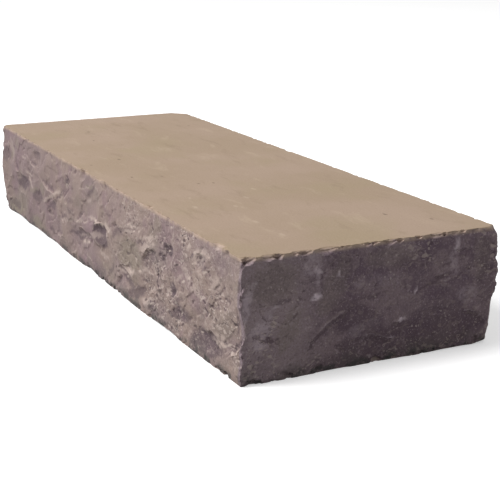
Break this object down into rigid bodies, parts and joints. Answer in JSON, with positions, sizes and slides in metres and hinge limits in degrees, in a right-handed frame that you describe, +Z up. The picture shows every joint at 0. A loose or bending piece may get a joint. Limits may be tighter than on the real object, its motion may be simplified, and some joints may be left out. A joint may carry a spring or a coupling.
{
  "type": "stone block step",
  "caption": "Solid natural-stone step with a level tread, a flat bed and four pitched, rock-faced sides.",
  "frame": {"origin": "centre of the flat bed that the step lies on", "axes": "+X along the step, +Y from the riser to the back, +Z up through the tread"},
  "size_m": [1.009, 0.365, 0.155],
  "materials": {
    "stone": "honed tan tread, rough purple-grey pitched faces"
  },
  "bodies": {
    "root": {"stone_block": "stone"}
  },
  "joints": []
}
